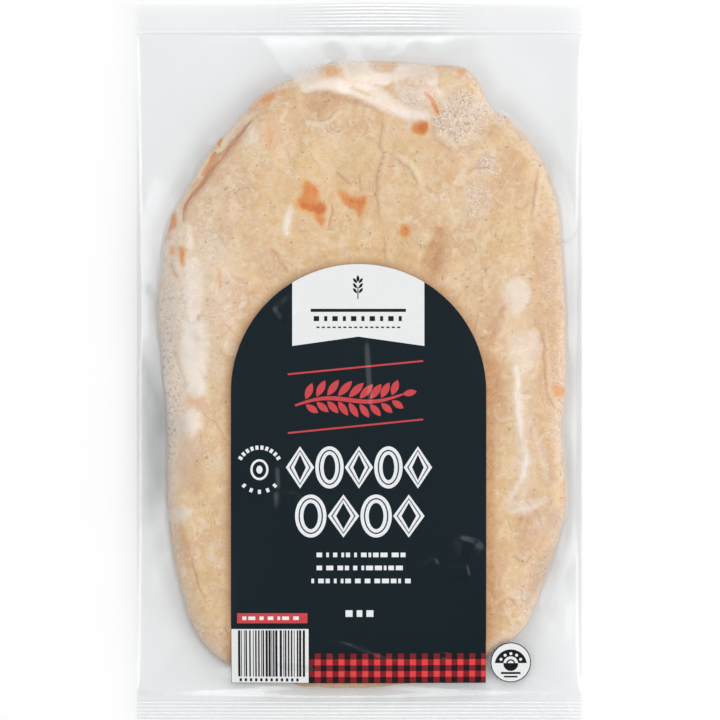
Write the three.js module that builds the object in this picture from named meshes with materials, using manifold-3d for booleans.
// One oval flatbread base sealed in a clear film bag, with an arched paper label and a round sticker on the film.
// The bag lies on its back: X runs across it, Y along it towards the upper seal, Z up.
// The origin is on the table, under the middle of the bag. All sizes are in millimetres.
// The bag and the bread that fills it are one closed solid, with the bread's oval form standing up under the film.

import * as THREE from "three";
import { mergeVertices } from "three/addons/utils/BufferGeometryUtils.js";
import Module from "manifold-3d";

// Driving dimensions
const BAG = { width: 216, length: 350, film: 0.8, edgeHeight: 4.2, cornerDip: 1.5, crestX: 8, crestSpread: 34 };
const SEAL = { width: 15.5, plainBand: 3.5, ribPitch: 2, ribRise: 0.35, wave: 0.7 };
const BREAD = { x: 2.1, y: -5.7, halfWidth: 98.5, halfLength: 152.5, squareness: 3 };
const SECTION = { rim: 10.5, crown: 14.2, middle: 4.6, shoulder: 13, heel: 9, filmGap: 0.4 };
const LABEL = { x: -0.3, width: 123.4, bottom: -155, archCentre: -13.7, gap: 0.3, thickness: 0.5 };
const STICKER = { x: 73.5, y: -145, radius: 9.8 };

// How the bread's edge leaves a plain rounded oval: degrees round it, millimetres outwards, and degrees either way.
const SWELLS = [
  { at: 43, by: 1.8, spread: 6 },
  { at: 60, by: -3.5, spread: 5 },
  { at: 64.5, by: -4.5, spread: 2 },
  { at: 72, by: 3, spread: 3 },
  { at: 103, by: -3, spread: 3 },
  { at: 116, by: -10, spread: 8 },
  { at: 132, by: -5, spread: 5 },
  { at: 152, by: 1, spread: 12 },
  { at: 164, by: 1.5, spread: 4 },
  { at: 196, by: -3, spread: 12 },
  { at: 239, by: 5.6, spread: 7 },
  { at: 287, by: -3.5, spread: 8 },
  { at: 297, by: -2, spread: 3 },
  { at: 326, by: 2.8, spread: 5 },
  { at: 345, by: -2, spread: 4 },
];

// Puffed places and hollows on the bread's top: place, height and radius.
const PUFFS = [
  { x: -48, y: 112, rise: 1.6, radius: 26 },
  { x: 38, y: 128, rise: 1.8, radius: 24 },
  { x: 64, y: 62, rise: 1.4, radius: 30 },
  { x: -70, y: 30, rise: 1.5, radius: 24 },
  { x: -76, y: -46, rise: 1.7, radius: 26 },
  { x: 78, y: -30, rise: 1.6, radius: 24 },
  { x: 66, y: -104, rise: 1.5, radius: 28 },
  { x: -58, y: -122, rise: 1.6, radius: 26 },
  { x: -8, y: 84, rise: -1.5, radius: 28 },
  { x: 84, y: 14, rise: -1.2, radius: 18 },
  { x: -86, y: -8, rise: -1.2, radius: 16 },
];

// How finely the faces are cut
const CUT = { across: 18, along: 28, seenRings: 14, hiddenRings: 3, filmRings: 5, archSteps: 28, discSteps: 32 };

const innerLength = BAG.length / 2 - SEAL.width;
const ribCount = Math.round((SEAL.width - SEAL.plainBand) / SEAL.ribPitch);

const bell = (distance, spread) => Math.exp(-0.5 * (distance / spread) ** 2);
const degreesApart = (a, b) => Math.abs(((a - b + 540) % 360) - 180);

// Distance from the bread's middle to its edge, in the direction of an angle in radians.
function breadEdge(angle) {
  const n = BREAD.squareness;
  const oval =
    (Math.abs(Math.cos(angle) / BREAD.halfWidth) ** n + Math.abs(Math.sin(angle) / BREAD.halfLength) ** n) ** (-1 / n);
  const degrees = THREE.MathUtils.radToDeg(angle);
  return SWELLS.reduce((sum, s) => sum + s.by * bell(degreesApart(degrees, s.at), s.spread), oval);
}

// Full height of the bread away from its rounded edge.
function breadHeight(x, y, share) {
  const dome = SECTION.rim + (SECTION.crown - SECTION.rim) * (1 - share ** 4);
  return PUFFS.reduce((sum, p) => sum + p.rise * bell(Math.hypot(x - p.x, y - p.y), p.radius / 2), dome);
}

// The quarter round of the bread's edge: 0 at the edge itself, 1 once the round ends.
const quarterRound = (inwards, size) => Math.sqrt(1 - (1 - Math.min(inwards / size, 1)) ** 2);

// One ray from the bread's middle to a point on the bag's edge.
class Ray {
  constructor(x, y) {
    this.angle = Math.atan2(y - BREAD.y, x - BREAD.x);
    this.bag = Math.hypot(x - BREAD.x, y - BREAD.y);
    this.bread = breadEdge(this.angle);
    this.edge = new THREE.Vector2(x, y);
  }
  at(distance) {
    if (distance === this.bag) return this.edge;
    return new THREE.Vector2(
      BREAD.x + distance * Math.cos(this.angle),
      BREAD.y + distance * Math.sin(this.angle),
    );
  }
  breadTop(distance) {
    const p = this.at(distance);
    const full = breadHeight(p.x, p.y, distance / this.bread);
    const round = quarterRound(this.bread - distance, SECTION.shoulder);
    return SECTION.middle + (full - SECTION.middle) * round + SECTION.filmGap;
  }
  breadUnder(distance) {
    return SECTION.middle * (1 - quarterRound(this.bread - distance, SECTION.heel));
  }
  // Film pulled tight from the bag's edge to wherever it meets the bread: side is +1 on top and -1 underneath.
  film(distance, side) {
    const surface = side > 0 ? (d) => this.breadTop(d) : (d) => this.breadUnder(d);
    const edgeHeight = filmEdge(this.edge.x, this.edge.y) + (side * BAG.film) / 2;
    const reach = side > 0 ? SECTION.shoulder : SECTION.heel;
    let best = distance <= this.bread ? surface(distance) : -side * Infinity;
    const tries = 24;
    for (let i = 0; i <= tries; i++) {
      const from = this.bread - (reach * i) / tries;
      if (from > distance) continue;
      const start = surface(from);
      const height = start + ((edgeHeight - start) * (distance - from)) / (this.bag - from);
      best = side > 0 ? Math.max(best, height) : Math.min(best, height);
    }
    return best;
  }
  point(distance, side) {
    const p = this.at(distance);
    return new THREE.Vector3(p.x, p.y, this.film(distance, side));
  }
}

// Height of the middle of the film along the bag's sides and seals, with a slow wave.
function filmEdge(x, y) {
  return BAG.edgeHeight + SEAL.wave * Math.sin((x * Math.PI) / 74 + (y > 0 ? 0.6 : 2.4));
}

// Triangles are gathered as a flat list of corner coordinates.
const quad = (out, a, b, c, d) => out.push(a, b, c, a, c, d);

// Points round the rectangle inside the seals, anticlockwise from the lower right corner.
function bagRays() {
  const halfWidth = BAG.width / 2;
  const rays = [];
  for (let i = 0; i < CUT.along; i++) rays.push(new Ray(halfWidth, innerLength * ((2 * i) / CUT.along - 1)));
  for (let i = 0; i < CUT.across; i++) rays.push(new Ray(halfWidth * (1 - (2 * i) / CUT.across), innerLength));
  for (let i = 0; i < CUT.along; i++) rays.push(new Ray(-halfWidth, innerLength * (1 - (2 * i) / CUT.along)));
  for (let i = 0; i < CUT.across; i++) rays.push(new Ray(halfWidth * ((2 * i) / CUT.across - 1), -innerLength));
  return rays;
}

// Distances along a ray: rings over the bread, closer together towards its edge, and rings over the free film.
function ringDistances(ray, breadRings, from) {
  const distances = [];
  for (let i = 1; i <= breadRings; i++) {
    const share = from + (1 - from) * (i / breadRings) ** 0.62;
    distances.push(ray.bread * share);
  }
  for (let i = 1; i < CUT.filmRings; i++) {
    distances.push(ray.bread + ((ray.bag - ray.bread) * i) / CUT.filmRings);
  }
  distances.push(ray.bag);
  return distances;
}

// One face of the pillow: a fan at the middle, then rings out to the bag's edge.
function addPillowFace(out, rays, side, breadRings, from) {
  const rings = rays.map((ray) => ringDistances(ray, breadRings, from).map((d) => ray.point(d, side)));
  const middleTop = breadHeight(BREAD.x, BREAD.y, 0) + SECTION.filmGap;
  const middle = new THREE.Vector3(BREAD.x, BREAD.y, side > 0 ? middleTop : 0);
  rings.forEach((near, i) => {
    const next = rings[(i + 1) % rings.length];
    if (side > 0) out.push(middle, near[0], next[0]);
    else out.push(middle, next[0], near[0]);
    for (let j = 1; j < near.length; j++) {
      if (side > 0) quad(out, near[j - 1], near[j], next[j], next[j - 1]);
      else quad(out, near[j - 1], next[j - 1], next[j], near[j]);
    }
  });
}

// A sealed end: a plain band, then ribs pressed through both layers of film. end is +1 at the top and -1 below.
function addSeal(out, end) {
  const rows = [0, SEAL.plainBand];
  for (let i = 1; i <= 2 * ribCount; i++) rows.push(SEAL.plainBand + (i * SEAL.ribPitch) / 2);
  const corner = (column, row, side) => {
    const x = (BAG.width / 2) * ((2 * column) / CUT.across - 1);
    const dip = end > 0 ? (BAG.cornerDip / SEAL.width) * (1 - bell(x - BAG.crestX, BAG.crestSpread)) : 0;
    const rib = row < 2 ? 0 : SEAL.ribRise * (row % 2 ? -1 : 1);
    const middle = filmEdge(x, end * innerLength) + (row === 0 ? 0 : rib);
    return new THREE.Vector3(x, end * (innerLength + rows[row] * (1 - dip)), middle + (side * BAG.film) / 2);
  };
  const face = (a, b, c, d) => (end > 0 ? quad(out, a, b, c, d) : quad(out, a, d, c, b));
  for (let i = 0; i < CUT.across; i++) {
    for (let j = 0; j + 1 < rows.length; j++) {
      face(corner(i, j, 1), corner(i + 1, j, 1), corner(i + 1, j + 1, 1), corner(i, j + 1, 1));
      face(corner(i, j, -1), corner(i, j + 1, -1), corner(i + 1, j + 1, -1), corner(i + 1, j, -1));
    }
    const last = rows.length - 1;
    face(corner(i, last, 1), corner(i + 1, last, 1), corner(i + 1, last, -1), corner(i, last, -1));
  }
  for (let j = 0; j + 1 < rows.length; j++) {
    const right = CUT.across;
    face(corner(0, j, 1), corner(0, j + 1, 1), corner(0, j + 1, -1), corner(0, j, -1));
    face(corner(right, j, 1), corner(right, j, -1), corner(right, j + 1, -1), corner(right, j + 1, 1));
  }
}

// The narrow walls where the film folds round the bag's two long sides.
function addSideFolds(out, rays) {
  const wall = (first) => {
    for (let i = first; i < first + CUT.along; i++) {
      const [a, b] = [rays[i], rays[(i + 1) % rays.length]];
      quad(out, a.point(a.bag, 1), a.point(a.bag, -1), b.point(b.bag, -1), b.point(b.bag, 1));
    }
  };
  wall(0);
  wall(CUT.along + CUT.across);
}

function geometryFrom(points) {
  const geometry = new THREE.BufferGeometry().setFromPoints(points);
  return mergeVertices(geometry, 1e-3);
}

function bagGeometry() {
  const points = [];
  const rays = bagRays();
  const flatShare = 0.78;
  addPillowFace(points, rays, 1, CUT.seenRings, 0);
  addPillowFace(points, rays, -1, CUT.hiddenRings, flatShare);
  addSeal(points, 1);
  addSeal(points, -1);
  addSideFolds(points, rays);
  return geometryFrom(points);
}

// manifold-3d joins and cuts the sheets that follow the film.
const wasm = await Module();
wasm.setup();

function toSolid(geometry) {
  const plain = geometry.clone();
  plain.deleteAttribute("normal");
  plain.deleteAttribute("uv");
  const merged = mergeVertices(plain, 1e-3);
  return new wasm.Manifold(
    new wasm.Mesh({
      numProp: 3,
      vertProperties: new Float32Array(merged.attributes.position.array),
      triVerts: new Uint32Array(merged.index.array),
    }),
  );
}

function toGeometry(solid) {
  const mesh = solid.getMesh();
  const geometry = new THREE.BufferGeometry();
  geometry.setAttribute("position", new THREE.BufferAttribute(mesh.vertProperties, 3));
  geometry.setIndex(new THREE.BufferAttribute(mesh.triVerts, 1));
  return geometry;
}

// A thin sheet lying on the film, cut out along a flat outline.
function sheetOnFilm(bag, outline, curveSegments) {
  const tall = 60;
  const cutter = toSolid(new THREE.ExtrudeGeometry(outline, { depth: tall, bevelEnabled: false, curveSegments }));
  const above = bag.translate([0, 0, LABEL.gap + LABEL.thickness]);
  const below = bag.translate([0, 0, LABEL.gap]);
  return toGeometry(cutter.intersect(above).subtract(below));
}

function labelOutline() {
  const half = LABEL.width / 2;
  const shape = new THREE.Shape();
  shape.moveTo(LABEL.x - half, LABEL.bottom);
  shape.lineTo(LABEL.x + half, LABEL.bottom);
  shape.lineTo(LABEL.x + half, LABEL.archCentre);
  shape.absarc(LABEL.x, LABEL.archCentre, half, 0, Math.PI, false);
  shape.closePath();
  return shape;
}

function stickerOutline() {
  const shape = new THREE.Shape();
  shape.absarc(STICKER.x, STICKER.y, STICKER.radius, 0, 2 * Math.PI, false);
  return shape;
}

function mesh(name, geometry, color, roughness) {
  geometry.computeVertexNormals();
  const made = new THREE.Mesh(geometry, new THREE.MeshStandardMaterial({ color, roughness, metalness: 0 }));
  made.name = name;
  return made;
}

const pinsa = new THREE.Group();
const bag = bagGeometry();
const bagSolid = toSolid(bag);
pinsa.add(mesh("bag", bag, 0xdfc29c, 0.35));
pinsa.add(mesh("label", sheetOnFilm(bagSolid, labelOutline(), CUT.archSteps), 0x1c262e, 0.4));
pinsa.add(mesh("sticker", sheetOnFilm(bagSolid, stickerOutline(), CUT.discSteps), 0x20262b, 0.4));

export default pinsa;
